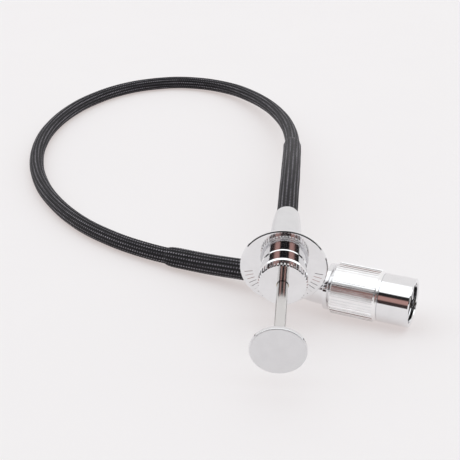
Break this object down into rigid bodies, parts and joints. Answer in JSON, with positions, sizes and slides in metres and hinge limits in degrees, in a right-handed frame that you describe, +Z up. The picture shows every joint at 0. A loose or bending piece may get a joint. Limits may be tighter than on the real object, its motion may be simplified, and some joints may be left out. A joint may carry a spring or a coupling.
{
  "type": "cable shutter release",
  "caption": "Cable shutter release: sprung thumb plunger with finger disc and lock ring, braided cable in a loose loop, and a screw-on bell connector with a release pin.",
  "frame": {"origin": "on the table, under the middle of the handle and connector taken together, without the cable", "axes": "-Y along the handle towards the thumb button, which dips a little, +Z up, +X towards the screw connector"},
  "size_m": [0.1354, 0.2152, 0.0284],
  "materials": {
    "chrome": "polished plating",
    "satin_chrome": "satin plating",
    "polished_steel": "polished",
    "spring_steel": "drawn wire",
    "drive_wire": "stranded wire",
    "brass": "turned",
    "black_braid": "tight woven braid"
  },
  "bodies": {
    "release_body": {"barrel": "chrome", "finger_disc": "chrome", "ring_circlip": "spring_steel", "lock_collet": "brass", "return_spring": "spring_steel", "spring_seat": "brass", "handle_ferrule": "satin_chrome", "handle_crimp": "brass", "cable_jacket": "black_braid", "cable_sheath": "spring_steel", "inner_wire": "drive_wire", "handle_relief": "black_braid", "connector_relief": "black_braid", "connector_core": "chrome", "connector_ferrule": "chrome", "connector_crimp": "brass", "bell_circlip": "spring_steel", "pin_guide": "brass"},
    "plunger": {"plunger_shaft": "polished_steel", "thumb_button": "satin_chrome", "piston": "brass", "handle_wire_end": "drive_wire"},
    "lock_ring": {"lock_ring": "chrome"},
    "screw_connector": {"knurled_sleeve": "chrome", "thread_bell": "chrome"},
    "pin": {"release_pin": "polished_steel", "pin_wire_end": "drive_wire"}
  },
  "joints": [
    {"name": "plunger_slide", "type": "slide", "parent": "release_body", "child": "plunger", "axis": [0, 0.9954, 0.0958], "range_m": [0, 0.01], "stiffness_N_per_m": 120, "springref_m": -0.008, "deforming": ["return_spring"]},
    {"name": "release_pin_slide", "type": "slide", "parent": "release_body", "child": "pin", "axis": [0.9537, -0.3007, 0], "range_m": [0, 0.01]},
    {"name": "lock_ring_turn", "type": "hinge", "parent": "release_body", "child": "lock_ring", "pos_m": [-0.01277, -0.00143, 0.01594], "axis": [0, -0.9954, -0.0958], "range_deg": [0, 60]},
    {"name": "connector_spin", "type": "hinge", "parent": "release_body", "child": "screw_connector", "pos_m": [0.00148, 0.01106, 0.00725], "axis": [0.9537, -0.3007, 0], "continuous": true}
  ],
  "couplings": [
    {"joint": "release_pin_slide", "follows": "plunger_slide", "ratio": 1}
  ]
}
